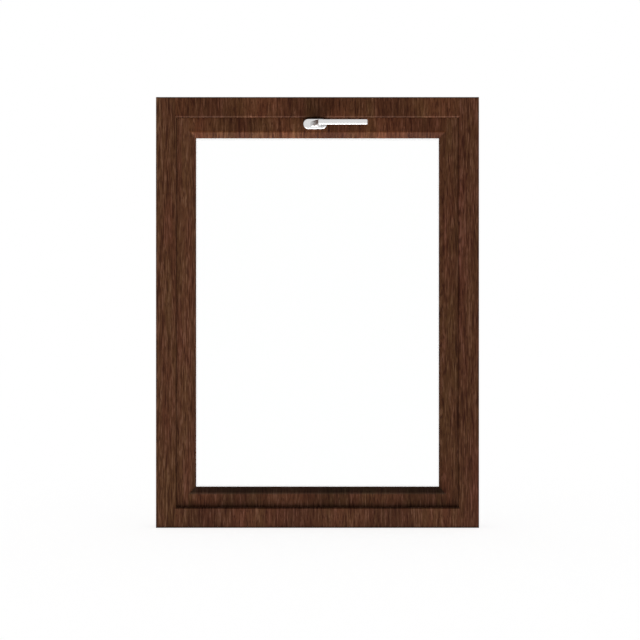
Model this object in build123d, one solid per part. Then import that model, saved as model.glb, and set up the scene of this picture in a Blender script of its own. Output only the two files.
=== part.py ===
from build123d import *
import os

# Bottom-hung timber window, closed. Millimetres, +Z up, X across, room side towards -Y.
# The origin is the middle of the frame's underside, half way through the frame's depth.
# Sections are drawn as (u, v): u runs inwards from the frame's outer edge, v is the depth along Y.

# Outer frame
WIDTH = 900.0
HEIGHT = 1200.0
FRAME_FACE = 53.5
FRAME_CHAMFER = 3.0
FRAME_EDGE_RADIUS = 3.5
STOP_THICKNESS = 16.0
STOP_OVERLAP = 9.0
STOP_EDGE_RADIUS = 3.0
SILL_FLAT_DEPTH = 46.0
SILL_NOSE_HEIGHT = 46.0
FIXING_HOLE_DIAMETER = 7.0
FIXING_END_DISTANCE = 200.0

# Sash
SASH_GAP = 0.5
SASH_RECESS = 9.0
STILE_FACE = 33.5
RAIL_FACE = 36.0
SASH_EDGE_RADIUS = 0.8
LIP_THICKNESS = 12.0
LIP_BEVEL = 6.0
LIP_SETBACK = 5.0
DRIP_GROOVE_WIDTH = 5.0
DRIP_GROOVE_DEPTH = 4.0
DRIP_GROOVE_INSET = 5.0

# Glazing
BEAD_WIDTH = 20.0
BEAD_DEPTH = 14.0
BEAD_FLAT = 4.0
BEAD_EDGE = 3.0
BEAD_SHOULDER_RADIUS = 8.0
BEAD_NOSE_RADIUS = 1.5
PANE_THICKNESS = 4.0
PANE_CAVITY = 16.0
PANE_EDGE_CLEARANCE = 4.0
PANE_GASKET = 3.0
GASKET_SETBACK = 0.5
GASKET_HEIGHT = 12.0
EDGE_SEAL_HEIGHT = 4.0
SPACER_HEIGHT = 6.5
SETTING_BLOCK_LENGTH = 100.0
SETTING_BLOCK_INSET = 120.0

# Weather seal and weather bar
SEAL_THICKNESS = 4.0
SEAL_WIDTH = 5.0
SEAL_INSET = 2.0
SEAL_EDGE_RADIUS = 1.2
BAR_WALL = 2.0
BAR_FOOT = 14.0
BAR_PROJECTION = 10.0
BAR_FALL = 8.0
BAR_DRIP = 9.0
BAR_CAP_THICKNESS = 3.0

# Pivots at the sash's bottom corners
PIVOT_DIAMETER = 8.0
PIVOT_COLLAR_DIAMETER = 18.0
PIVOT_DEPTH = 18.0
PIVOT_RISE = 16.0
PIVOT_SETBACK = 16.0
PIVOT_CLEARANCE = 0.05

# Handle
HANDLE_OFFSET = -6.5
ROSETTE_LENGTH = 66.0
ROSETTE_HEIGHT = 28.0
ROSETTE_THICKNESS = 11.0
ROSETTE_EDGE_RADIUS = 2.5
HUB_DIAMETER = 13.0
HUB_DEPTH = 8.0
HUB_CLEARANCE = 0.05
LEVER_LIFT = 0.3
LEVER_REACH = 145.0
LEVER_STAND_OFF = 48.0
LEVER_THICKNESS = 12.0
LEVER_HEIGHT = 14.0
LEVER_NECK_LEFT = 13.0
LEVER_NECK_WIDTH = 22.0
LEVER_NECK_LEAN = 22.5
LEVER_BEND_RADIUS = 5.0
LEVER_CROOK_RADIUS = 9.0
LEVER_TIP_RADIUS = 4.0
LEVER_EDGE_RADIUS = 3.5
SPINDLE_SIDE = 7.0
SPINDLE_LENGTH = 40.0
SPINDLE_SOCKET = 5.0
SPINDLE_CLEARANCE = 1.0

# Depths along Y, from the room to the weather
GLAZING_THICKNESS = 2 * PANE_THICKNESS + PANE_CAVITY
SASH_THICKNESS = BEAD_DEPTH + GLAZING_THICKNESS + 2 * PANE_GASKET + LIP_THICKNESS
FRAME_DEPTH = SASH_RECESS + SASH_THICKNESS + SEAL_THICKNESS + STOP_THICKNESS
ROOM_FACE = -FRAME_DEPTH / 2
WEATHER_FACE = FRAME_DEPTH / 2
STOP_FACE = WEATHER_FACE - STOP_THICKNESS
SASH_ROOM_FACE = ROOM_FACE + SASH_RECESS
SASH_WEATHER_FACE = SASH_ROOM_FACE + SASH_THICKNESS
BEAD_BACK = SASH_ROOM_FACE + BEAD_DEPTH
INNER_PANE_FRONT = BEAD_BACK + PANE_GASKET
INNER_PANE_BACK = INNER_PANE_FRONT + PANE_THICKNESS
OUTER_PANE_FRONT = INNER_PANE_BACK + PANE_CAVITY
OUTER_PANE_BACK = OUTER_PANE_FRONT + PANE_THICKNESS
LIP_FACE = OUTER_PANE_BACK + PANE_GASKET

# Distances inwards from the frame's outer edge
REBATE = FRAME_FACE + FRAME_CHAMFER
SASH_EDGE = REBATE + SASH_GAP
STOP_EDGE = SASH_EDGE + STOP_OVERLAP
GLAZING_REBATE = SASH_EDGE + STILE_FACE
RAIL_GAIN = RAIL_FACE - STILE_FACE
SIGHT_LINE = GLAZING_REBATE + BEAD_WIDTH
LIP_EDGE = SIGHT_LINE - LIP_SETBACK
PANE_EDGE = GLAZING_REBATE + PANE_EDGE_CLEARANCE
GASKET_INNER = SIGHT_LINE - GASKET_SETBACK
LIP_GASKET_INNER = LIP_EDGE - GASKET_SETBACK
SPACER_OUTER = PANE_EDGE + EDGE_SEAL_HEIGHT
SEAL_OUTER = SASH_EDGE + SEAL_INSET

LEFT_PLANE = Plane(origin=(-WIDTH / 2, 0, 0), x_dir=(1, 0, 0), z_dir=(0, 0, 1))
SILL_PLANE = Plane(origin=(WIDTH / 2, 0, 0), x_dir=(0, 0, 1), z_dir=(-1, 0, 0))
MID_HEIGHT = Plane(origin=(0, 0, HEIGHT / 2), x_dir=(1, 0, 0), z_dir=(0, 0, 1))


def polygon(*points):
    return make_face(Polyline(*points, close=True))


def rounded(face, corner, radius):
    return fillet(face.vertices().sort_by_distance(Vector(*corner))[:1], radius)


def upright(face, start, end):
    """A member at the left side, from one height to another."""
    return extrude(LEFT_PLANE.offset(start) * face, end - start)


def crosswise(face, inset):
    """A member along the bottom, short of the frame's sides by the inset."""
    return extrude(SILL_PLANE.offset(inset) * face, WIDTH - 2 * inset)


def eased(solid, depths, radius):
    """A left member with its outer arrises rounded, along its length and across both ends."""
    arrises = ShapeList()
    for depth in depths:
        on_face = solid.edges().filter_by_position(Axis.Y, depth, depth)
        arrises += on_face.filter_by(Axis.Z).sort_by(Axis.X)[:1]
        arrises += on_face.filter_by(Axis.X)
    return fillet(arrises, radius)


def to_right(solid):
    return mirror(solid, Plane.YZ)


def to_top(solid):
    return mirror(solid, MID_HEIGHT)


def inset_rectangle(inset, gain):
    """The frame's outline less an inset, and less a further gain at the top and the bottom."""
    return Rectangle(WIDTH - 2 * inset, HEIGHT - 2 * (inset + gain))


def ring(outer, inner, front, back, gain):
    """A rectangular ring between two insets and two depths."""
    plane = Plane(origin=(0, front, HEIGHT / 2), x_dir=(1, 0, 0), z_dir=(0, 1, 0))
    face = inset_rectangle(outer, gain) - inset_rectangle(inner, gain)
    return extrude(plane * face, back - front)


def sheet(inset, front, back, gain):
    """A rectangular sheet inside an inset, between two depths."""
    plane = Plane(origin=(0, front, HEIGHT / 2), x_dir=(1, 0, 0), z_dir=(0, 1, 0))
    return extrude(plane * inset_rectangle(inset, gain), back - front)


def rod(x, y, z, radius, length):
    """A round bar along +X from a point."""
    return extrude(Plane(origin=(x, y, z), z_dir=(1, 0, 0)) * Circle(radius), length)


# Frame: the jambs run full height, the head and the sill are coped between them
frame_section = polygon(
    (0, ROOM_FACE),
    (FRAME_FACE, ROOM_FACE),
    (REBATE, ROOM_FACE + FRAME_CHAMFER),
    (REBATE, STOP_FACE),
    (STOP_EDGE, STOP_FACE),
    (STOP_EDGE, WEATHER_FACE),
    (0, WEATHER_FACE),
)
frame_section = rounded(frame_section, (STOP_EDGE, WEATHER_FACE), STOP_EDGE_RADIUS)
head_section = frame_section
for arris in ((0, ROOM_FACE), (0, WEATHER_FACE)):
    head_section = rounded(head_section, arris, FRAME_EDGE_RADIUS)

SILL_BREAK = ROOM_FACE + SILL_FLAT_DEPTH
SILL_PITCH = (REBATE - SILL_NOSE_HEIGHT) / (WEATHER_FACE - SILL_BREAK)


def sill_top(v):
    return REBATE - SILL_PITCH * (v - SILL_BREAK)


sill_section = polygon(
    (0, ROOM_FACE),
    (FRAME_FACE, ROOM_FACE),
    (REBATE, ROOM_FACE + FRAME_CHAMFER),
    (REBATE, SILL_BREAK),
    (SILL_NOSE_HEIGHT, WEATHER_FACE),
    (0, WEATHER_FACE),
)
for arris in ((0, ROOM_FACE), (0, WEATHER_FACE)):
    sill_section = rounded(sill_section, arris, FRAME_EDGE_RADIUS)

PIVOT_Y = SASH_ROOM_FACE + PIVOT_SETBACK
PIVOT_Z = SASH_EDGE + PIVOT_RISE
pivot_hole = rod(
    -WIDTH / 2 + REBATE - PIVOT_DEPTH,
    PIVOT_Y,
    PIVOT_Z,
    PIVOT_DIAMETER / 2 + PIVOT_CLEARANCE,
    2 * PIVOT_DEPTH + SASH_GAP,
)

jamb_block = upright(frame_section, 0, HEIGHT)
jamb_left = eased(jamb_block, (ROOM_FACE, WEATHER_FACE), FRAME_EDGE_RADIUS) - pivot_hole
for height in (FIXING_END_DISTANCE, HEIGHT - FIXING_END_DISTANCE):
    jamb_left -= rod(-WIDTH / 2, 0, height, FIXING_HOLE_DIAMETER / 2, STOP_EDGE)
jamb_right = to_right(jamb_left)
jambs = jamb_block + to_right(jamb_block)
frame_sill = crosswise(sill_section, 0) - jambs
frame_head = to_top(crosswise(head_section, 0)) - jambs


# Sash: the stiles run full height, the rails are coped between them
def sash_section(gain):
    """A sash member's section, wider at the glass by the gain."""
    return polygon(
        (SASH_EDGE, SASH_ROOM_FACE),
        (GLAZING_REBATE + gain, SASH_ROOM_FACE),
        (GLAZING_REBATE + gain, LIP_FACE),
        (LIP_EDGE + gain, LIP_FACE),
        (LIP_EDGE + gain, SASH_WEATHER_FACE - LIP_BEVEL),
        (LIP_EDGE + gain - LIP_BEVEL, SASH_WEATHER_FACE),
        (SASH_EDGE, SASH_WEATHER_FACE),
    )


rail_section = rounded(sash_section(RAIL_GAIN), (SASH_EDGE, SASH_ROOM_FACE), SASH_EDGE_RADIUS)
GROOVE_BACK = SASH_WEATHER_FACE - DRIP_GROOVE_INSET
drip_groove = polygon(
    (SASH_EDGE, GROOVE_BACK - DRIP_GROOVE_WIDTH),
    (SASH_EDGE + DRIP_GROOVE_DEPTH, GROOVE_BACK - DRIP_GROOVE_WIDTH),
    (SASH_EDGE + DRIP_GROOVE_DEPTH, GROOVE_BACK),
    (SASH_EDGE, GROOVE_BACK),
)

HANDLE_Z = HEIGHT - SASH_EDGE - RAIL_FACE / 2
handle_plane = Plane(origin=(HANDLE_OFFSET, SASH_ROOM_FACE, HANDLE_Z), x_dir=(1, 0, 0), z_dir=(0, -1, 0))
ROSETTE_FRONT = ROSETTE_THICKNESS
NECK_FOOT = ROSETTE_FRONT + LEVER_LIFT
HUB_FOOT = ROSETTE_FRONT - HUB_DEPTH
SPINDLE_FRONT = HUB_FOOT + SPINDLE_SOCKET
spindle_hole = extrude(
    handle_plane.offset(SPINDLE_FRONT - SPINDLE_LENGTH - SPINDLE_CLEARANCE)
    * Circle(SPINDLE_SIDE * 2**0.5 / 2 + SPINDLE_CLEARANCE),
    SPINDLE_LENGTH + SPINDLE_CLEARANCE,
)

stile_block = upright(sash_section(0), SASH_EDGE, HEIGHT - SASH_EDGE)
sash_stile_left = eased(stile_block, (SASH_ROOM_FACE,), SASH_EDGE_RADIUS) - pivot_hole
sash_stile_right = to_right(sash_stile_left)
stiles = stile_block + to_right(stile_block)
sash_top_rail = to_top(crosswise(rail_section, SASH_EDGE)) - stiles - spindle_hole
sash_bottom_rail = crosswise(rail_section - drip_groove, SASH_EDGE) - stiles

# Glazing beads, splayed and mitred
BEAD_SHOULDER = (GLAZING_REBATE + BEAD_FLAT, SASH_ROOM_FACE)
BEAD_NOSE = (SIGHT_LINE, BEAD_BACK - BEAD_EDGE)
bead_section = polygon(
    (GLAZING_REBATE, SASH_ROOM_FACE),
    BEAD_SHOULDER,
    BEAD_NOSE,
    (SIGHT_LINE, BEAD_BACK),
    (GLAZING_REBATE, BEAD_BACK),
)
bead_section = rounded(bead_section, BEAD_SHOULDER, BEAD_SHOULDER_RADIUS)
bead_section = rounded(bead_section, BEAD_NOSE, BEAD_NOSE_RADIUS)
HALF_W = WIDTH / 2 - GLAZING_REBATE
HALF_H = HEIGHT / 2 - GLAZING_REBATE - RAIL_GAIN
mitre_plane = Plane(origin=(0, SASH_ROOM_FACE, HEIGHT / 2), x_dir=(1, 0, 0), z_dir=(0, -1, 0))
side_mitre = extrude(
    mitre_plane
    * polygon(
        (-HALF_W, -HALF_H),
        (-HALF_W + BEAD_WIDTH, -HALF_H + BEAD_WIDTH),
        (-HALF_W + BEAD_WIDTH, HALF_H - BEAD_WIDTH),
        (-HALF_W, HALF_H),
    ),
    -SASH_THICKNESS,
)
rail_mitre = extrude(
    mitre_plane
    * polygon(
        (-HALF_W, -HALF_H),
        (HALF_W, -HALF_H),
        (HALF_W - BEAD_WIDTH, -HALF_H + BEAD_WIDTH),
        (-HALF_W + BEAD_WIDTH, -HALF_H + BEAD_WIDTH),
    ),
    -SASH_THICKNESS,
)
bead_left = upright(bead_section, 0, HEIGHT) & side_mitre
bead_right = to_right(bead_left)
bead_bottom = crosswise(Pos(RAIL_GAIN, 0) * bead_section, 0) & rail_mitre
bead_top = to_top(bead_bottom)

# Sealed double glazing on setting blocks, between gaskets
inner_pane = sheet(PANE_EDGE, INNER_PANE_FRONT, INNER_PANE_BACK, RAIL_GAIN)
outer_pane = sheet(PANE_EDGE, OUTER_PANE_FRONT, OUTER_PANE_BACK, RAIL_GAIN)
edge_seal = ring(PANE_EDGE, SPACER_OUTER, INNER_PANE_BACK, OUTER_PANE_FRONT, RAIL_GAIN)
spacer_bar = ring(SPACER_OUTER, SPACER_OUTER + SPACER_HEIGHT, INNER_PANE_BACK, OUTER_PANE_FRONT, RAIL_GAIN)
inner_glazing_gasket = ring(GASKET_INNER - GASKET_HEIGHT, GASKET_INNER, BEAD_BACK, INNER_PANE_FRONT, RAIL_GAIN)
LIP_GASKET_OUTER = LIP_GASKET_INNER - GASKET_HEIGHT
outer_glazing_gasket = ring(LIP_GASKET_OUTER, LIP_GASKET_INNER, OUTER_PANE_BACK, LIP_FACE, RAIL_GAIN)
block_section = polygon(
    (GLAZING_REBATE, INNER_PANE_FRONT),
    (PANE_EDGE, INNER_PANE_FRONT),
    (PANE_EDGE, OUTER_PANE_BACK),
    (GLAZING_REBATE, OUTER_PANE_BACK),
)
setting_block_right = extrude(
    SILL_PLANE.offset(PANE_EDGE + SETTING_BLOCK_INSET) * Pos(RAIL_GAIN, 0) * block_section,
    SETTING_BLOCK_LENGTH,
)
setting_block_left = to_right(setting_block_right)

# Weather seal on the stop, and the weather bar that is the stop along the sill
weather_seal = ring(SEAL_OUTER, SEAL_OUTER + SEAL_WIDTH, SASH_WEATHER_FACE, STOP_FACE, 0)
weather_seal = fillet(weather_seal.faces().sort_by(Axis.Y)[0].edges(), SEAL_EDGE_RADIUS)

bar_path = Polyline(
    (STOP_FACE + BAR_FOOT, sill_top(STOP_FACE + BAR_FOOT)),
    (STOP_FACE, sill_top(STOP_FACE)),
    (STOP_FACE, STOP_EDGE),
    (WEATHER_FACE + BAR_PROJECTION, STOP_EDGE - BAR_FALL),
    (WEATHER_FACE + BAR_PROJECTION, STOP_EDGE - BAR_FALL - BAR_DRIP),
)
bar_section = make_face(offset(bar_path, BAR_WALL, side=Side.RIGHT, kind=Kind.INTERSECTION))
cap_section = polygon(
    (STOP_FACE, sill_top(STOP_FACE)),
    (STOP_FACE, STOP_EDGE),
    (WEATHER_FACE + BAR_PROJECTION, STOP_EDGE - BAR_FALL),
    (WEATHER_FACE + BAR_PROJECTION, STOP_EDGE - BAR_FALL - BAR_DRIP),
    (WEATHER_FACE, SILL_NOSE_HEIGHT),
)
BAR_END = WIDTH / 2 - STOP_EDGE - BAR_CAP_THICKNESS
bar_plane = Plane(origin=(-BAR_END, 0, 0), x_dir=(0, 1, 0), z_dir=(1, 0, 0))
weather_bar = extrude(bar_plane * bar_section, 2 * BAR_END)
weather_bar_cap_left = extrude(bar_plane * cap_section, -BAR_CAP_THICKNESS)
weather_bar_cap_right = to_right(weather_bar_cap_left)

# Pivots between the jambs and the stiles
collar_x = -WIDTH / 2 + REBATE
pivot_left = rod(collar_x - PIVOT_DEPTH, PIVOT_Y, PIVOT_Z, PIVOT_DIAMETER / 2, 2 * PIVOT_DEPTH + SASH_GAP)
pivot_left += rod(collar_x, PIVOT_Y, PIVOT_Z, PIVOT_COLLAR_DIAMETER / 2, SASH_GAP)
pivot_right = to_right(pivot_left)

# Handle: rosette on the top rail, lever turning in it, square spindle into the rail
rosette_outline = SlotOverall(ROSETTE_LENGTH, ROSETTE_HEIGHT)
handle_rosette = extrude(handle_plane * rosette_outline, ROSETTE_THICKNESS)
handle_rosette = fillet(handle_rosette.faces().sort_by(Axis.Y)[0].edges(), ROSETTE_EDGE_RADIUS)
handle_rosette -= extrude(handle_plane * Circle(HUB_DIAMETER / 2 + HUB_CLEARANCE), ROSETTE_THICKNESS)

LEVER_FRONT = ROSETTE_FRONT + LEVER_STAND_OFF
LEVER_BACK = LEVER_FRONT - LEVER_THICKNESS
NECK_SLOPE = LEVER_NECK_LEAN / (LEVER_FRONT - NECK_FOOT)
crook_x = LEVER_NECK_WIDTH - LEVER_NECK_LEFT + NECK_SLOPE * (LEVER_BACK - NECK_FOOT)
lever_outline = polygon(
    (-LEVER_NECK_LEFT, NECK_FOOT),
    (LEVER_NECK_LEAN - LEVER_NECK_LEFT, LEVER_FRONT),
    (LEVER_REACH, LEVER_FRONT),
    (LEVER_REACH, LEVER_BACK),
    (crook_x, LEVER_BACK),
    (LEVER_NECK_WIDTH - LEVER_NECK_LEFT, NECK_FOOT),
)
lever_outline = rounded(lever_outline, (LEVER_NECK_LEAN - LEVER_NECK_LEFT, LEVER_FRONT), LEVER_BEND_RADIUS)
lever_outline = rounded(lever_outline, (crook_x, LEVER_BACK), LEVER_CROOK_RADIUS)
lever_outline = rounded(lever_outline, (LEVER_REACH, LEVER_FRONT), LEVER_TIP_RADIUS)
lever_outline = rounded(lever_outline, (LEVER_REACH, LEVER_BACK), LEVER_TIP_RADIUS)
lever_plane = Plane(
    origin=(HANDLE_OFFSET, SASH_ROOM_FACE, HANDLE_Z - LEVER_HEIGHT / 2),
    x_dir=(1, 0, 0),
    z_dir=(0, 0, 1),
)
handle_lever = extrude(lever_plane * mirror(lever_outline, Plane.XZ), LEVER_HEIGHT)
long_edges = handle_lever.faces().sort_by(Axis.Z)[0].edges() + handle_lever.faces().sort_by(Axis.Z)[-1].edges()
handle_lever = fillet(long_edges, LEVER_EDGE_RADIUS)
handle_lever += extrude(handle_plane.offset(HUB_FOOT) * Circle(HUB_DIAMETER / 2), HUB_DEPTH + LEVER_LIFT)
spindle_bar = extrude(
    handle_plane.offset(SPINDLE_FRONT - SPINDLE_LENGTH) * Rectangle(SPINDLE_SIDE, SPINDLE_SIDE),
    SPINDLE_LENGTH,
)
handle_lever -= spindle_bar
handle_spindle = spindle_bar

nodes = {
    "jamb_left": jamb_left,
    "jamb_right": jamb_right,
    "frame_head": frame_head,
    "frame_sill": frame_sill,
    "weather_seal": weather_seal,
    "weather_bar": weather_bar,
    "weather_bar_cap_left": weather_bar_cap_left,
    "weather_bar_cap_right": weather_bar_cap_right,
    "pivot_left": pivot_left,
    "pivot_right": pivot_right,
    "sash_stile_left": sash_stile_left,
    "sash_stile_right": sash_stile_right,
    "sash_top_rail": sash_top_rail,
    "sash_bottom_rail": sash_bottom_rail,
    "bead_top": bead_top,
    "bead_bottom": bead_bottom,
    "bead_left": bead_left,
    "bead_right": bead_right,
    "inner_pane": inner_pane,
    "outer_pane": outer_pane,
    "spacer_bar": spacer_bar,
    "edge_seal": edge_seal,
    "inner_glazing_gasket": inner_glazing_gasket,
    "outer_glazing_gasket": outer_glazing_gasket,
    "setting_block_left": setting_block_left,
    "setting_block_right": setting_block_right,
    "handle_rosette": handle_rosette,
    "handle_lever": handle_lever,
    "handle_spindle": handle_spindle,
}

os.makedirs("parts", exist_ok=True)
for name, shape in nodes.items():
    export_step(shape, f"parts/{name}.step")
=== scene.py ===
import math
from collections import namedtuple

import bpy
from bpy.props import FloatProperty, FloatVectorProperty, PointerProperty
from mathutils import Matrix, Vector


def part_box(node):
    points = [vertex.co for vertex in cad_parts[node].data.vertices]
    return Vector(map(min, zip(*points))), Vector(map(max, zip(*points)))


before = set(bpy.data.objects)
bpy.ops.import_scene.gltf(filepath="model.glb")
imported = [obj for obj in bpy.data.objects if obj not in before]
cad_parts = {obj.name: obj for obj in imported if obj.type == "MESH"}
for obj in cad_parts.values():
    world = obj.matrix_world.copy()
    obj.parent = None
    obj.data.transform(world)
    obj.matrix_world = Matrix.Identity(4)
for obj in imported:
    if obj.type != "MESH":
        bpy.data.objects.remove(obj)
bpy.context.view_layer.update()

bl_info = {
    "name": "Bottom-hung timber window",
    "version": (1, 0, 0),
    "blender": (4, 5, 0),
    "location": "3D View > Sidebar > Window",
    "description": "Finishes a bottom-hung window: stained timber, double glazing, silver handle and stage",
    "category": "Object",
}

# A timber member: the shift of its grain, its tone in red, green and blue, and the spread of grain values
# from dark to light, wider where the grain is fainter; a bead shares the shift of the member that it lies on
Board = namedtuple("Board", "shift tone spread")
# Members on the left take lighter tones than those on the right
FRAME_BOARDS = {
    "jamb_left": Board((0.0, 0.0, 0.0), (1.18, 1.22, 1.24), 0.26),
    "jamb_right": Board((1.37, 0.21, 0.83), (1.06, 1.02, 1.09), 0.27),
    "frame_head": Board((2.91, 0.47, 1.29), (1.07, 1.07, 1.00), 0.30),
    "frame_sill": Board((4.13, 0.11, 2.57), (1.15, 1.19, 1.25), 0.30),
}
SASH_BOARDS = {
    "sash_stile_left": Board((0.61, 0.33, 3.41), (1.38, 1.44, 1.52), 0.26),
    "sash_stile_right": Board((1.93, 0.59, 4.07), (1.07, 1.10, 1.09), 0.28),
    "sash_top_rail": Board((3.37, 0.71, 5.23), (1.03, 1.00, 0.94), 0.31),
    "sash_bottom_rail": Board((5.19, 0.93, 6.11), (1.13, 1.19, 1.21), 0.29),
}
BEAD_BOARDS = {
    "bead_left": Board((0.61, 0.33, 3.41), (1.21, 1.24, 1.26), 0.26),
    "bead_right": Board((1.93, 0.59, 4.07), (1.04, 1.05, 1.05), 0.28),
    # bead_top's tone is redder to offset the grey sheen that the low lamps put on it; bead_bottom's greyer
    # tone and fainter grain are painted shade on its faces that look up
    "bead_top": Board((3.37, 0.71, 5.23), (0.95, 0.83, 0.62), 0.28),
    "bead_bottom": Board((5.19, 0.93, 6.11), (0.86, 1.14, 1.38), 0.50),
}

# Cross members, whose grain has broad pale bands as well: the place across of one such band
CROSS_BANDS = {
    "frame_head": -0.182,
    "frame_sill": -0.182,
    "sash_top_rail": -0.095,
    "sash_bottom_rail": -0.095,
    "bead_top": -0.090,
    "bead_bottom": -0.090,
}

# Painted shade: members whose faces that look down are painted darker, against the lamps' light on them; the
# share of the full tone kept there
PAINTED_SOFFIT_SHADE = {"frame_head": 0.72}
# Upright part of a face's direction where that painted shade is full, and where it ends
PAINTED_SHADE_FULL = -0.6
PAINTED_SHADE_END = -0.3

# Size across, through and along the grain of one patch of a colour cast, the noise value where the cast is
# plain, on the cross members and on the others, and how far from it the casts are full
CAST_PATCH = (0.038, 0.038, 0.22)
CROSS_CAST_MIDDLE = 0.56
CAST_MIDDLE = 0.47
CAST_REACH = 0.15

# Width of a faint band in grain lines, and the middle of the values of lines, streaks and bands together
FAINT_BAND_LINES = 4.5
GRAIN_MIDDLE = 1.065

# Agreement of a face's direction with that of its rounded edge: where wear is full, and where it ends
WEAR_FULL = 0.80
WEAR_END = 0.985

# Width and length of one drawing line on metal
DRAWN_WIDTH = 0.0004
DRAWN_LENGTH = 0.055

# Axes along which metal is drawn
ALONG_X = 0
ALONG_Z = 2

# Blender's wave texture turns by this many radians in one unit
WAVE_RATE = 20.0

# Sockets of Blender's mix node when it mixes colours
MIX_AMOUNT = 0
MIX_FIRST = 6
MIX_SECOND = 7
MIX_RESULT = 2

# The stage: white, how far the floor lies below the sill, the soft panels' gap to the window and their
# height, and the count of diffuse bounces under which a ray has none
WHITE = (1.0, 1.0, 1.0)
FLOOR_DROP = 0.001
PANEL_GAP = 0.002
PANEL_HEIGHT = 0.0005
NO_BOUNCE = 0.5


def color_property(name, description, default):
    """A colour that a user may change."""
    return FloatVectorProperty(
        name=name, description=description, default=default, size=3, min=0.0, max=1.0, subtype="COLOR"
    )


def length_property(name, description, default, **limits):
    """A length in metres that a user may change."""
    return FloatProperty(name=name, description=description, default=default, unit="LENGTH", **limits)


def share_property(name, description, default):
    """A share from 0 to 1 that a user may change."""
    return FloatProperty(
        name=name, description=description, default=default, min=0.0, max=1.0, subtype="FACTOR"
    )


def angle_property(name, description, degrees, **limits):
    """An angle that a user may change."""
    return FloatProperty(
        name=name, description=description, default=math.radians(degrees), subtype="ANGLE", **limits
    )


def power_property(name, description, default):
    """A lamp's power in watts that a user may change."""
    return FloatProperty(name=name, description=description, default=default, min=0.0, subtype="POWER")


class TimberFinish(bpy.types.PropertyGroup):
    """The stain on the frame, the sash and the beads."""

    dark_grain: color_property("Dark grain", "Stain where the grain is closed", (0.034, 0.0098, 0.0046))
    stain: color_property("Stain", "Main tone of the stained timber", (0.0775, 0.0298, 0.0135))
    light_grain: color_property("Light grain", "Stain over the pale grain lines", (0.140, 0.062, 0.036))
    olive_cast: color_property("Olive cast", "Cast of the greener patches", (0.94, 1.0, 0.88))
    plain_cast: color_property("Plain cast", "Cast between the patches", (0.97, 0.95, 0.93))
    red_cast: color_property("Red cast", "Cast of the redder patches", (1.0, 0.88, 0.91))
    grain_width: length_property("Grain width", "Width of one grain line", 0.0040, min=0.0005)
    grain_length: length_property("Grain length", "Length of one grain line", 0.085, min=0.005)
    cross_width: length_property(
        "Cross grain width", "Width of one grain line on rails, head and sill", 0.0050, min=0.0005
    )
    cross_length: length_property(
        "Cross grain length", "Length of one grain line on rails, head and sill", 0.068, min=0.005
    )
    band_period: length_property(
        "Band period", "Distance between the broad pale bands on rails, head and sill", 0.256, min=0.02
    )
    band_depth: share_property("Band depth", "Share by which the broad bands change the tone", 0.20)
    streak_width: length_property("Streak width", "Width of one fine streak", 0.0024, min=0.0005)
    pore_width: length_property("Pore width", "Width of one open pore", 0.0020, min=0.0005)
    pore_depth: share_property("Pore depth", "Share by which open pores take the dark stain", 0.75)
    wear_radius: length_property("Wear radius", "Reach of the wear on an arris", 0.0022, min=0.0)
    wear: share_property("Wear", "Share by which worn arrises take the light stain", 0.22)
    grain_turn: angle_property("Grain turn", "Lean of the grain through a board's depth", 42.0)
    roughness: share_property("Roughness", "Roughness of the satin stain", 0.52)
    sheen_level: share_property("Specular level", "Strength of the stain's gloss", 0.06)


class GlazingFinish(bpy.types.PropertyGroup):
    """The panes and what seals them."""

    tint: color_property("Glass tint", "Colour of the clear float glass", (0.998, 1.0, 0.999))
    haze: share_property("Haze", "Roughness of the glass where it is least clean", 0.018)
    rubber: color_property("Rubber", "Colour of gaskets and seals", (0.012, 0.012, 0.012))
    spacer: color_property("Spacer", "Colour of the aluminium spacer bar", (0.62, 0.62, 0.61))
    spacer_roughness: share_property("Spacer roughness", "Roughness of the spacer bar", 0.60)


class HandleFinish(bpy.types.PropertyGroup):
    """The silver handle."""

    silver: color_property("Silver", "Colour of the satin metal", (0.702, 0.694, 0.690))
    roughness: share_property("Roughness", "Roughness of the satin metal", 0.27)


class FittingFinish(bpy.types.PropertyGroup):
    """The weather bar, its caps, the pivots, the spindle and the setting blocks."""

    bronze: color_property("Bronze", "Anodised weather bar", (0.105, 0.062, 0.040))
    bronze_roughness: share_property("Bronze roughness", "Roughness of the weather bar", 0.38)
    plastic: color_property("Plastic", "Moulded end caps and blocks", (0.030, 0.024, 0.020))
    steel: color_property("Steel", "Plated pivots and spindle", (0.56, 0.56, 0.54))
    steel_roughness: share_property("Steel roughness", "Roughness of the pivots and the spindle", 0.34)


class StageSettings(bpy.types.PropertyGroup):
    """Floor, light and camera."""

    floor_color: color_property("Floor", "Colour of the pale floor", (0.86, 0.86, 0.86))
    floor_glow: share_property("Floor glow", "White that the camera sees besides the floor's colour", 0.82)
    floor_size: length_property("Floor size", "Side of the floor", 40.0, min=2.0)
    panel_power: power_property("Front panel", "Power of the soft panel in front", 600.0)
    back_power: power_property("Back panel", "Power of the soft panel behind", 430.0)
    panel_width: length_property("Panel width", "Width of the soft panels", 9.0, min=0.1)
    panel_depth: length_property("Panel depth", "Depth of the soft panels", 6.0, min=0.1)
    panel_side: length_property("Panel side", "Place of the front panel across", -0.6)
    panel_spread: angle_property("Panel spread", "Opening of the soft panels' beam", 115.0)
    ambient: FloatProperty(
        name="Ambient", description="Strength of the room's own light", default=0.21, min=0.0
    )
    camera_distance: length_property("Camera distance", "From the frame's room face", 4.45, min=0.5)
    camera_side: length_property("Camera side", "Camera place across", 0.007)
    camera_height: length_property("Camera height", "Camera place above the sill's underside", 0.579)
    view_angle: angle_property("View angle", "Angle that the picture takes in", 22.64, min=0.05)


def node_object(name):
    """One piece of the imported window."""
    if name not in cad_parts:
        raise RuntimeError(f"the packed window has no piece named {name}")
    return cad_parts[name]


def dress(material, *names):
    """Gives pieces of the window their finish."""
    for name in names:
        mesh = node_object(name).data
        mesh.materials.clear()
        mesh.materials.append(material)


def scaled(color, factor, limit=1.0):
    """A colour times a factor, with no channel over the limit."""
    return tuple(min(channel * factor, limit) for channel in color)


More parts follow.
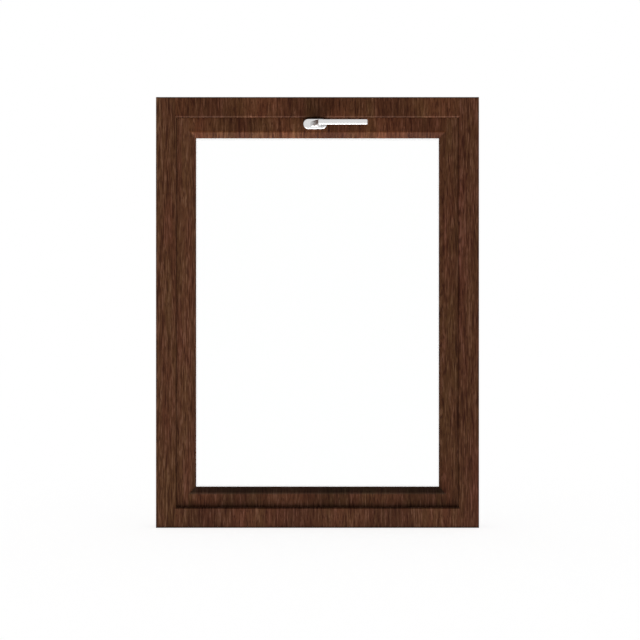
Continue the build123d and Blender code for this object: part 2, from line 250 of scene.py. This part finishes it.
def feed(tree, value, socket):
    """Gives a socket its value: another socket, a plain number or an opaque colour."""
    if isinstance(value, bpy.types.NodeSocket):
        tree.links.new(value, socket)
    elif socket.type == "RGBA":
        socket.default_value = (*value, 1.0)
    else:
        socket.default_value = value


def reckon(tree, operation, *values):
    """One step of arithmetic on sockets or plain numbers."""
    step = tree.nodes.new("ShaderNodeMath")
    step.operation = operation
    for socket, value in zip(step.inputs, values):
        feed(tree, value, socket)
    return step.outputs["Value"]


class Finish:
    """A material under construction: its node tree, its surface shader and short ways to add nodes."""

    def __init__(self, name):
        self.material = bpy.data.materials.new(name)
        self.material.use_nodes = True
        self.tree = self.material.node_tree
        self.tree.nodes.clear()
        self.surface = self.tree.nodes.new("ShaderNodeBsdfPrincipled")
        output = self.tree.nodes.new("ShaderNodeOutputMaterial")
        self.feed(self.surface.outputs["BSDF"], output.inputs["Surface"])
        self.place = self.tree.nodes.new("ShaderNodeTexCoord").outputs["Object"]

    def feed(self, value, socket):
        """Gives a socket of this finish its value."""
        feed(self.tree, value, socket)

    def set(self, **values):
        """Gives the surface shader's sockets their values; a socket's name has _ for each space."""
        for key, value in values.items():
            self.feed(value, self.surface.inputs[key.replace("_", " ")])

    def noise(self, size, shift=(0.0, 0.0, 0.0), turn=0.0, detail=3.0, roughness=0.55, distortion=0.0):
        """Noise with its own feature size along each axis, in metres, turned about the upright axis."""
        mapping = self.tree.nodes.new("ShaderNodeMapping")
        mapping.vector_type = "TEXTURE"
        self.feed(shift, mapping.inputs["Location"])
        self.feed((0.0, 0.0, turn), mapping.inputs["Rotation"])
        self.feed(size, mapping.inputs["Scale"])
        self.feed(self.place, mapping.inputs["Vector"])
        noise = self.tree.nodes.new("ShaderNodeTexNoise")
        self.feed(1.0, noise.inputs["Scale"])
        self.feed(detail, noise.inputs["Detail"])
        self.feed(roughness, noise.inputs["Roughness"])
        self.feed(distortion, noise.inputs["Distortion"])
        self.feed(mapping.outputs["Vector"], noise.inputs["Vector"])
        return noise.outputs["Fac"]

    def specks(self, size, detail):
        """Noise with the same feature size along all axes, in metres."""
        return self.noise((size, size, size), detail=detail)

    def waves(self, period, peak, distortion):
        """Soft bands across the width, one of them highest at the peak."""
        mapping = self.tree.nodes.new("ShaderNodeMapping")
        mapping.vector_type = "TEXTURE"
        self.feed((peak + period / 2, 0.0, 0.0), mapping.inputs["Location"])
        self.feed(self.place, mapping.inputs["Vector"])
        wave = self.tree.nodes.new("ShaderNodeTexWave")
        self.feed(math.tau / (WAVE_RATE * period), wave.inputs["Scale"])
        self.feed(distortion, wave.inputs["Distortion"])
        self.feed(1.0, wave.inputs["Detail"])
        self.feed(mapping.outputs["Vector"], wave.inputs["Vector"])
        return wave.outputs["Fac"]

    def ramp(self, value, stops):
        """Colours set along a value from 0 to 1."""
        ramp = self.tree.nodes.new("ShaderNodeValToRGB")
        elements = ramp.color_ramp.elements
        while len(elements) < len(stops):
            elements.new(0.5)
        for element, (at, color) in zip(elements, stops):
            element.position = at
            element.color = (*color, 1.0)
        self.feed(value, ramp.inputs["Fac"])
        return ramp.outputs["Color"]

    def grey(self, value, low, high, start=0.3, end=0.7):
        """A value taken from its start and end to two limits, and held there beyond them."""
        spread = self.tree.nodes.new("ShaderNodeMapRange")
        self.feed(value, spread.inputs["Value"])
        self.feed(start, spread.inputs["From Min"])
        self.feed(end, spread.inputs["From Max"])
        self.feed(low, spread.inputs["To Min"])
        self.feed(high, spread.inputs["To Max"])
        return spread.outputs["Result"]

    def mix(self, amount, first, second, blend="MIX"):
        """Two colours mixed; each of the three may be a plain value or a socket."""
        mix = self.tree.nodes.new("ShaderNodeMix")
        mix.data_type = "RGBA"
        mix.blend_type = blend
        mix.clamp_factor = True
        self.feed(amount, mix.inputs[MIX_AMOUNT])
        self.feed(first, mix.inputs[MIX_FIRST])
        self.feed(second, mix.inputs[MIX_SECOND])
        return mix.outputs[MIX_RESULT]

    def shade(self, color, level):
        """A colour darkened or lightened by a level or another colour."""
        return self.mix(1.0, color, level, "MULTIPLY")

    def add(self, first, second, weight):
        """A first value with a weighted second one."""
        return reckon(self.tree, "MULTIPLY_ADD", second, weight, first)

    def worn_edges(self, radius):
        """One on arrises, nothing on flats."""
        bevel = self.tree.nodes.new("ShaderNodeBevel")
        bevel.samples = 4
        self.feed(radius, bevel.inputs["Radius"])
        flat = self.tree.nodes.new("ShaderNodeNewGeometry")
        agreement = self.tree.nodes.new("ShaderNodeVectorMath")
        agreement.operation = "DOT_PRODUCT"
        self.feed(bevel.outputs["Normal"], agreement.inputs[0])
        self.feed(flat.outputs["Normal"], agreement.inputs[1])
        return self.grey(agreement.outputs["Value"], 1.0, 0.0, start=WEAR_FULL, end=WEAR_END)

    def painted_soffit_shade(self, tone):
        """Painted shade: the given tone on faces that look down, and full tone elsewhere."""
        face = self.tree.nodes.new("ShaderNodeNewGeometry")
        direction = self.tree.nodes.new("ShaderNodeSeparateXYZ")
        self.feed(face.outputs["Normal"], direction.inputs["Vector"])
        return self.grey(direction.outputs["Z"], tone, 1.0, start=PAINTED_SHADE_FULL, end=PAINTED_SHADE_END)

    def bump(self, height, strength, distance):
        """Fine relief on the surface, with its depth in metres."""
        bump = self.tree.nodes.new("ShaderNodeBump")
        self.feed(strength, bump.inputs["Strength"])
        self.feed(distance, bump.inputs["Distance"])
        self.feed(height, bump.inputs["Height"])
        self.set(Normal=bump.outputs["Normal"])


def stained_timber(name, board, settings):
    """Dark stained timber with an upright grain: faint bands, grain lines, fine streaks and open pores."""
    finish = Finish(f"timber_{name}")
    cross = name in CROSS_BANDS
    wide = settings.cross_width if cross else settings.grain_width
    tall = settings.cross_length if cross else settings.grain_length
    turn = 0.0 if cross else settings.grain_turn

    def layer(width, depth, length, **looks):
        """One layer of the grain: width on the face and depth in metres, length in grain lines."""
        return finish.noise((width * math.cos(turn), depth, length * tall), board.shift, turn, **looks)

    bands = layer(wide * FAINT_BAND_LINES, depth=0.2, length=3.0, detail=1.0)
    lines = layer(wide, depth=0.2, length=0.83, detail=2.0, roughness=0.5, distortion=0.2)
    streaks = layer(settings.streak_width, depth=0.1, length=0.36, detail=2.0, roughness=0.5)
    pores = layer(settings.pore_width, depth=0.05, length=0.24, detail=1.0, roughness=0.4)
    grain = finish.add(finish.add(lines, streaks, weight=0.9), bands, weight=0.25)
    grain = finish.grey(grain, 0.0, 1.0, start=GRAIN_MIDDLE - board.spread, end=GRAIN_MIDDLE + board.spread)
    dark, stain, light = (
        tuple(channel * share for channel, share in zip(color, board.tone))
        for color in (settings.dark_grain, settings.stain, settings.light_grain)
    )
    body = finish.ramp(grain, [(0.10, dark), (0.46, stain), (0.60, stain), (0.95, light)])
    middle = CROSS_CAST_MIDDLE if cross else CAST_MIDDLE
    casts = [
        (middle - CAST_REACH, settings.red_cast),
        (middle, settings.plain_cast),
        (middle + CAST_REACH, settings.olive_cast),
    ]
    body = finish.shade(body, finish.ramp(finish.noise(CAST_PATCH, board.shift, turn, detail=2.0), casts))
    if cross:
        broad = finish.waves(settings.band_period, CROSS_BANDS[name], distortion=1.0)
        lowest = 1.0 - settings.band_depth
        highest = 1.0 + settings.band_depth
        body = finish.shade(body, finish.grey(broad, lowest, highest, start=0.0, end=1.0))
    # Painted shade on the faces of the head that look down
    if name in PAINTED_SOFFIT_SHADE:
        body = finish.shade(body, finish.painted_soffit_shade(PAINTED_SOFFIT_SHADE[name]))
    body = finish.mix(finish.grey(pores, settings.pore_depth, 0.0, start=0.34, end=0.42), body, dark)
    broken = finish.grey(streaks, 0.0, settings.wear, start=0.45, end=0.70)
    wear = reckon(finish.tree, "MULTIPLY", finish.worn_edges(settings.wear_radius), broken)
    dull = settings.roughness + 0.10
    satin = settings.roughness - 0.08
    finish.set(
        Base_Color=finish.mix(wear, body, light),
        Roughness=finish.grey(grain, dull, satin, start=0.0, end=1.0),
        Specular_IOR_Level=settings.sheen_level,
    )
    finish.bump(finish.add(streaks, pores, weight=0.8), strength=0.16, distance=0.0005)
    return finish.material


def clear_glass(settings):
    """Clear glass, a little less clean in patches."""
    finish = Finish("clear_float_glass")
    patches = finish.noise((0.11, 0.11, 0.16), detail=4.0)
    finish.set(
        Base_Color=settings.tint,
        Transmission_Weight=1.0,
        IOR=1.5,
        Roughness=finish.grey(patches, 0.0, settings.haze, start=0.5, end=0.8),
    )
    return finish.material


def black_rubber(settings):
    """Matt rubber with a paler bloom."""
    finish = Finish("black_rubber")
    bloom = finish.specks(0.016, detail=5.0)
    pale = scaled(settings.rubber, 2.4)
    finish.set(
        Base_Color=finish.ramp(bloom, [(0.35, settings.rubber), (0.75, pale)]),
        Roughness=finish.grey(bloom, 0.55, 0.8),
        Specular_IOR_Level=0.25,
    )
    finish.bump(finish.specks(0.0006, detail=2.0), strength=0.2, distance=0.0002)
    return finish.material


def drawn_metal(name, color, roughness, along, worn):
    """Metal with fine drawing lines along one axis, and brighter arrises where it is worn."""
    finish = Finish(name)
    size = [DRAWN_WIDTH, DRAWN_WIDTH, DRAWN_WIDTH]
    size[along] = DRAWN_LENGTH
    lines = finish.noise(size, detail=2.0, roughness=0.5)
    body = finish.mix(finish.grey(lines, 0.0, 0.35), color, scaled(color, 0.90))
    if worn:
        wear = finish.grey(finish.worn_edges(0.0012), 0.0, 0.5, start=0.0, end=1.0)
        body = finish.mix(wear, body, scaled(color, 2.2, limit=0.9))
    smear = finish.specks(0.04, detail=4.0)
    finish.set(
        Base_Color=body,
        Roughness=finish.grey(smear, roughness - 0.05, roughness + 0.08),
        Metallic=1.0,
    )
    finish.bump(lines, strength=0.06, distance=0.0001)
    return finish.material


def moulded_plastic(name, color):
    """Matt plastic with a fine moulded grain."""
    finish = Finish(name)
    cloud = finish.specks(0.022, detail=4.0)
    grain = finish.specks(0.0007, detail=1.0)
    finish.set(
        Base_Color=finish.ramp(cloud, [(0.35, color), (0.7, scaled(color, 1.5))]),
        Roughness=finish.grey(grain, 0.42, 0.58),
        Specular_IOR_Level=0.3,
    )
    finish.bump(grain, strength=0.25, distance=0.0002)
    return finish.material


def dress_boards(boards, settings):
    """Stains timber members, each in its own tone."""
    for name, board in boards.items():
        dress(stained_timber(name, board, settings), name)


class BOTTOMHUNG_OT_frame_timber(bpy.types.Operator):
    """Stains the jambs, the head and the sill."""

    bl_idname = "bottom_hung.frame_timber"
    bl_label = "Stain frame timber"

    def execute(self, context):
        dress_boards(FRAME_BOARDS, context.scene.window_timber)
        return {"FINISHED"}


class BOTTOMHUNG_OT_sash_timber(bpy.types.Operator):
    """Stains the stiles and the rails of the sash."""

    bl_idname = "bottom_hung.sash_timber"
    bl_label = "Stain sash timber"

    def execute(self, context):
        dress_boards(SASH_BOARDS, context.scene.window_timber)
        return {"FINISHED"}


class BOTTOMHUNG_OT_beads(bpy.types.Operator):
    """Stains the mitred glazing beads."""

    bl_idname = "bottom_hung.beads"
    bl_label = "Stain glazing beads"

    def execute(self, context):
        dress_boards(BEAD_BOARDS, context.scene.window_timber)
        return {"FINISHED"}


class BOTTOMHUNG_OT_glazing(bpy.types.Operator):
    """Finishes the panes, the spacer and the rubber that seals them."""

    bl_idname = "bottom_hung.glazing"
    bl_label = "Finish glazing"

    def execute(self, context):
        settings = context.scene.window_glazing
        glass = clear_glass(settings)
        rubber = black_rubber(settings)
        spacer = drawn_metal(
            "spacer_aluminium", settings.spacer, settings.spacer_roughness, along=ALONG_Z, worn=False
        )
        dress(glass, "inner_pane", "outer_pane")
        dress(rubber, "inner_glazing_gasket", "outer_glazing_gasket", "edge_seal", "weather_seal")
        dress(spacer, "spacer_bar")
        return {"FINISHED"}


class BOTTOMHUNG_OT_fittings(bpy.types.Operator):
    """Finishes the weather bar, its end caps, the pivots, the spindle and the setting blocks."""

    bl_idname = "bottom_hung.fittings"
    bl_label = "Finish fittings"

    def execute(self, context):
        settings = context.scene.window_fittings
        bronze = drawn_metal(
            "bronze_anodised", settings.bronze, settings.bronze_roughness, along=ALONG_X, worn=True
        )
        plastic = moulded_plastic("moulded_plastic", settings.plastic)
        steel = drawn_metal(
            "plated_steel", settings.steel, settings.steel_roughness, along=ALONG_X, worn=True
        )
        dress(bronze, "weather_bar")
        dress(plastic, "weather_bar_cap_left", "weather_bar_cap_right")
        dress(plastic, "setting_block_left", "setting_block_right")
        dress(steel, "pivot_left", "pivot_right", "handle_spindle")
        return {"FINISHED"}


class BOTTOMHUNG_OT_handle(bpy.types.Operator):
    """Finishes the rosette and the lever."""

    bl_idname = "bottom_hung.handle"
    bl_label = "Finish handle"

    def execute(self, context):
        settings = context.scene.window_handle
        silver = drawn_metal("satin_silver", settings.silver, settings.roughness, along=ALONG_X, worn=False)
        dress(silver, "handle_rosette", "handle_lever")
        return {"FINISHED"}


def looked_at(tree, path):
    """One for rays from the camera and for those by way of metal or glass, nothing for other light."""
    seen = path.outputs["Is Camera Ray"]
    for kind in ("Is Glossy Ray", "Is Transmission Ray"):
        seen = reckon(tree, "MAXIMUM", seen, path.outputs[kind])
    return seen


def stage_floor(settings):
    """A pale floor that the camera sees as white, with the window's soft shadow on it."""
    half = settings.floor_size / 2
    mesh = bpy.data.meshes.new("floor")
    corners = [(x * half, y * half, -FLOOR_DROP) for x, y in ((-1, -1), (1, -1), (1, 1), (-1, 1))]
    mesh.from_pydata(corners, [], [(0, 1, 2, 3)])
    floor = bpy.data.objects.new("floor", mesh)
    bpy.context.collection.objects.link(floor)
    material = bpy.data.materials.new("pale_floor")
    material.use_nodes = True
    tree = material.node_tree
    tree.nodes.clear()
    path = tree.nodes.new("ShaderNodeLightPath")
    matt = tree.nodes.new("ShaderNodeBsdfDiffuse")
    feed(tree, settings.floor_color, matt.inputs["Color"])
    glow = tree.nodes.new("ShaderNodeEmission")
    feed(tree, WHITE, glow.inputs["Color"])
    feed(tree, reckon(tree, "MULTIPLY", looked_at(tree, path), settings.floor_glow), glow.inputs["Strength"])
    both = tree.nodes.new("ShaderNodeAddShader")
    feed(tree, matt.outputs["BSDF"], both.inputs[0])
    feed(tree, glow.outputs["Emission"], both.inputs[1])
    output = tree.nodes.new("ShaderNodeOutputMaterial")
    feed(tree, both.outputs["Shader"], output.inputs["Surface"])
    mesh.materials.append(material)


def stage_world(settings):
    """Even room light, and white where the camera, the metal or the glass looks past the window."""
    world = bpy.data.worlds.new("white_room")
    bpy.context.scene.world = world
    world.use_nodes = True
    tree = world.node_tree
    tree.nodes.clear()
    path = tree.nodes.new("ShaderNodeLightPath")
    direct = reckon(tree, "LESS_THAN", path.outputs["Diffuse Depth"], NO_BOUNCE)
    room = tree.nodes.new("ShaderNodeBackground")
    feed(tree, WHITE, room.inputs["Color"])
    feed(tree, settings.ambient, room.inputs["Strength"])
    backdrop = tree.nodes.new("ShaderNodeBackground")
    feed(tree, WHITE, backdrop.inputs["Color"])
    feed(tree, 1.0, backdrop.inputs["Strength"])
    choice = tree.nodes.new("ShaderNodeMixShader")
    feed(tree, reckon(tree, "MULTIPLY", looked_at(tree, path), direct), choice.inputs["Fac"])
    feed(tree, room.outputs["Background"], choice.inputs[1])
    feed(tree, backdrop.outputs["Background"], choice.inputs[2])
    output = tree.nodes.new("ShaderNodeOutputWorld")
    feed(tree, choice.outputs["Shader"], output.inputs["Surface"])


def soft_panel(name, side, forward, power, settings):
    """A lamp that lies on the floor and shines upwards."""
    data = bpy.data.lights.new(name, "AREA")
    data.shape = "RECTANGLE"
    data.size = settings.panel_width
    data.size_y = settings.panel_depth
    data.energy = power
    data.spread = settings.panel_spread
    panel = bpy.data.objects.new(name, data)
    panel.location = (side, forward, PANEL_HEIGHT)
    panel.rotation_euler = (math.pi, 0.0, 0.0)
    panel.visible_camera = False
    panel.visible_transmission = False
    bpy.context.collection.objects.link(panel)


def stage_camera(settings, room_face):
    """A level camera that looks at the window square on from the room."""
    camera = bpy.data.objects.new("camera", bpy.data.cameras.new("camera"))
    camera.data.sensor_fit = "HORIZONTAL"
    camera.data.angle = settings.view_angle
    camera.location = (settings.camera_side, room_face - settings.camera_distance, settings.camera_height)
    camera.rotation_euler = (math.pi / 2, 0.0, 0.0)
    bpy.context.collection.objects.link(camera)
    bpy.context.scene.camera = camera


class BOTTOMHUNG_OT_stage(bpy.types.Operator):
    """Sets the floor, the soft light and the camera."""

    bl_idname = "bottom_hung.stage"
    bl_label = "Set stage"

    def execute(self, context):
        settings = context.scene.window_stage
        low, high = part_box("frame_sill")
        stage_floor(settings)
        stage_world(settings)
        reach = settings.panel_depth / 2 + PANEL_GAP
        soft_panel("low_front_panel", settings.panel_side, low[1] - reach, settings.panel_power, settings)
        soft_panel("low_back_panel", 0.0, high[1] + reach, settings.back_power, settings)
        stage_camera(settings, low[1])
        context.scene.view_settings.view_transform = "Standard"
        return {"FINISHED"}


class BOTTOMHUNG_PT_window(bpy.types.Panel):
    """Lists the window's finishes and the stage."""

    bl_label = "Bottom-hung window"
    bl_idname = "BOTTOMHUNG_PT_window"
    bl_space_type = "VIEW_3D"
    bl_region_type = "UI"
    bl_category = "Window"

    def draw(self, context):
        for operator in OPERATORS:
            self.layout.operator(operator.bl_idname)


OPERATORS = (
    BOTTOMHUNG_OT_stage,
    BOTTOMHUNG_OT_frame_timber,
    BOTTOMHUNG_OT_sash_timber,
    BOTTOMHUNG_OT_beads,
    BOTTOMHUNG_OT_glazing,
    BOTTOMHUNG_OT_fittings,
    BOTTOMHUNG_OT_handle,
)
SETTINGS = {
    "window_timber": TimberFinish,
    "window_glazing": GlazingFinish,
    "window_handle": HandleFinish,
    "window_fittings": FittingFinish,
    "window_stage": StageSettings,
}


def register():
    for cls in (*SETTINGS.values(), *OPERATORS, BOTTOMHUNG_PT_window):
        bpy.utils.register_class(cls)
    for name, cls in SETTINGS.items():
        setattr(bpy.types.Scene, name, PointerProperty(type=cls))


def unregister():
    for name in SETTINGS:
        delattr(bpy.types.Scene, name)
    for cls in (BOTTOMHUNG_PT_window, *reversed(OPERATORS), *SETTINGS.values()):
        bpy.utils.unregister_class(cls)


def main():
    register()
    bpy.ops.bottom_hung.stage()
    bpy.ops.bottom_hung.frame_timber()
    bpy.ops.bottom_hung.sash_timber()
    bpy.ops.bottom_hung.beads()
    bpy.ops.bottom_hung.glazing()
    bpy.ops.bottom_hung.fittings()
    bpy.ops.bottom_hung.handle()


if __name__ == "__main__":
    main()
